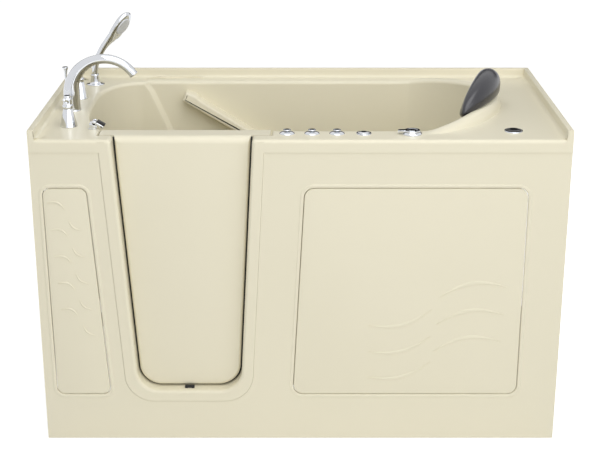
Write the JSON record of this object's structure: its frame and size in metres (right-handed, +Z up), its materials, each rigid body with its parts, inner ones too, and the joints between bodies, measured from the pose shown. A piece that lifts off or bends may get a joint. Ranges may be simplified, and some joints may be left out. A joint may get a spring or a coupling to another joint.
{
  "type": "jetted walk-in bathtub",
  "caption": "Cream walk-in jetted bathtub with an inward-opening front door, deck-mounted filler and hand shower, chrome controls and a dark headrest pillow.",
  "frame": {"origin": "on the floor, under the middle of the tub's outline", "axes": "+X along the tub towards the seat end (right as seen from the front), +Y from the front towards the back wall, +Z up"},
  "size_m": [1.524, 0.787, 1.1725],
  "materials": {
    "acrylic": "gloss",
    "chrome": "polished",
    "frame_steel": "satin",
    "black_plastic": "satin",
    "seal_rubber": "matte",
    "gel_pad": "gloss",
    "white_pipe": "satin",
    "brass": "satin",
    "timber": "matte",
    "motor_paint": "satin",
    "grey_plastic": "satin",
    "white_plastic": "satin"
  },
  "bodies": {
    "root": {"tub_shell": "acrylic", "front_apron": "acrylic", "left_access_panel": "acrylic", "right_access_panel": "acrylic", "panel_catches": "frame_steel", "base_frame": "frame_steel", "upper_frame": "frame_steel", "seat_frame": "frame_steel", "basin_bearers": "timber", "levelling_feet": "black_plastic", "equipment_tray": "frame_steel", "door_rest_block": "seal_rubber", "hinge_frame_leaves": "frame_steel", "hinge_pins": "chrome", "latch_bracket": "chrome", "headrest_pillow": "gel_pad", "valve_escutcheons": "chrome", "spout": "chrome", "diverter_body": "chrome", "shower_cradle": "chrome", "supply_valves": "brass", "mixer_pipe": "brass", "shower_pipe": "white_pipe", "control_bases": "chrome", "drain_body": "chrome", "overflow_cover": "chrome", "waste_pipe": "white_pipe", "suction_cover": "chrome", "suction_pipe": "white_pipe", "pump_wet_end": "black_plastic", "pump_motor": "motor_paint", "discharge_pipe": "white_pipe", "water_manifold": "white_pipe", "jet_bodies": "chrome", "air_jets": "chrome", "air_manifold": "white_pipe", "air_blower": "grey_plastic", "control_box": "white_plastic"},
    "door": {"hinge_door_leaves": "frame_steel", "door_inner_panel": "acrylic", "door_outer_panel": "acrylic", "door_seal": "seal_rubber"},
    "door_latch": {"latch_lever": "chrome", "latch_grip": "black_plastic"},
    "front_handle": {"front_valve_handle": "chrome"},
    "rear_handle": {"rear_valve_handle": "chrome"},
    "diverter": {"diverter_rod": "chrome"},
    "handset": {"hand_shower": "chrome", "spray_face": "white_plastic"},
    "air_knob_1": {"air_knob_1": "chrome"},
    "air_knob_2": {"air_knob_2": "chrome"},
    "air_knob_3": {"air_knob_3": "chrome"},
    "blower_button": {"blower_button": "chrome"},
    "pump_button": {"pump_button": "black_plastic"},
    "drain_lever": {"drain_lever": "chrome"},
    "drain_stopper": {"drain_stopper": "chrome"},
    "jet_1": {"jet_nozzle_1": "chrome"},
    "jet_2": {"jet_nozzle_2": "chrome"},
    "jet_3": {"jet_nozzle_3": "chrome"},
    "jet_4": {"jet_nozzle_4": "chrome"}
  },
  "joints": [
    {"name": "door_hinge", "type": "hinge", "parent": "root", "child": "door", "pos_m": [-0.08, -0.2735, 0.52], "axis": [0, 0, -1], "range_deg": [0, 90]},
    {"name": "latch_pivot", "type": "hinge", "parent": "root", "child": "door_latch", "pos_m": [-0.591, -0.2705, 0.9555], "axis": [0, -1, 0], "range_deg": [0, 60]},
    {"name": "front_valve", "type": "hinge", "parent": "root", "child": "front_handle", "pos_m": [-0.67, -0.2425, 1], "axis": [0, 0, 1], "range_deg": [0, 90]},
    {"name": "rear_valve", "type": "hinge", "parent": "root", "child": "rear_handle", "pos_m": [-0.689, 0.0895, 1], "axis": [0, 0, -1], "range_deg": [0, 90]},
    {"name": "diverter_slide", "type": "slide", "parent": "root", "child": "diverter", "axis": [0, 0, 1], "range_m": [0, 0.012]},
    {"name": "handset_lift", "type": "slide", "parent": "root", "child": "handset", "axis": [0, 0, 1], "range_m": [0, 0.04]},
    {"name": "air_knob_1_turn", "type": "hinge", "parent": "root", "child": "air_knob_1", "pos_m": [-0.038, -0.3205, 0.94], "axis": [0, 0, 1], "range_deg": [0, 90]},
    {"name": "air_knob_2_turn", "type": "hinge", "parent": "root", "child": "air_knob_2", "pos_m": [0.033, -0.3205, 0.94], "axis": [0, 0, 1], "range_deg": [0, 90]},
    {"name": "air_knob_3_turn", "type": "hinge", "parent": "root", "child": "air_knob_3", "pos_m": [0.104, -0.3205, 0.94], "axis": [0, 0, 1], "range_deg": [0, 90]},
    {"name": "blower_button_press", "type": "slide", "parent": "root", "child": "blower_button", "axis": [0, 0, 1], "range_m": [-0.0025, 0], "stiffness_N_per_m": 800, "springref_m": 0.003},
    {"name": "pump_button_press", "type": "slide", "parent": "root", "child": "pump_button", "axis": [0, 0, 1], "range_m": [-0.0025, 0], "stiffness_N_per_m": 800, "springref_m": 0.003},
    {"name": "drain_lever_turn", "type": "hinge", "parent": "root", "child": "drain_lever", "pos_m": [0.317, -0.3275, 0.945], "axis": [0, 0, 1], "range_deg": [0, 90]},
    {"name": "stopper_lift", "type": "slide", "parent": "root", "child": "drain_stopper", "axis": [0, 0, 1], "range_m": [0, 0.01]},
    {"name": "jet_1_turn", "type": "hinge", "parent": "root", "child": "jet_1", "pos_m": [-0.15, 0.3125, 0.69], "axis": [0, 1, 0], "range_deg": [0, 90]},
    {"name": "jet_2_turn", "type": "hinge", "parent": "root", "child": "jet_2", "pos_m": [0, 0.3125, 0.69], "axis": [0, 1, 0], "range_deg": [0, 90]},
    {"name": "jet_3_turn", "type": "hinge", "parent": "root", "child": "jet_3", "pos_m": [0.15, 0.3125, 0.69], "axis": [0, 1, 0], "range_deg": [0, 90]},
    {"name": "jet_4_turn", "type": "hinge", "parent": "root", "child": "jet_4", "pos_m": [0.3, 0.3125, 0.69], "axis": [0, 1, 0], "range_deg": [0, 90]}
  ],
  "couplings": [
    {"joint": "stopper_lift", "follows": "drain_lever_turn", "m_per_rad": 0.0063662}
  ]
}
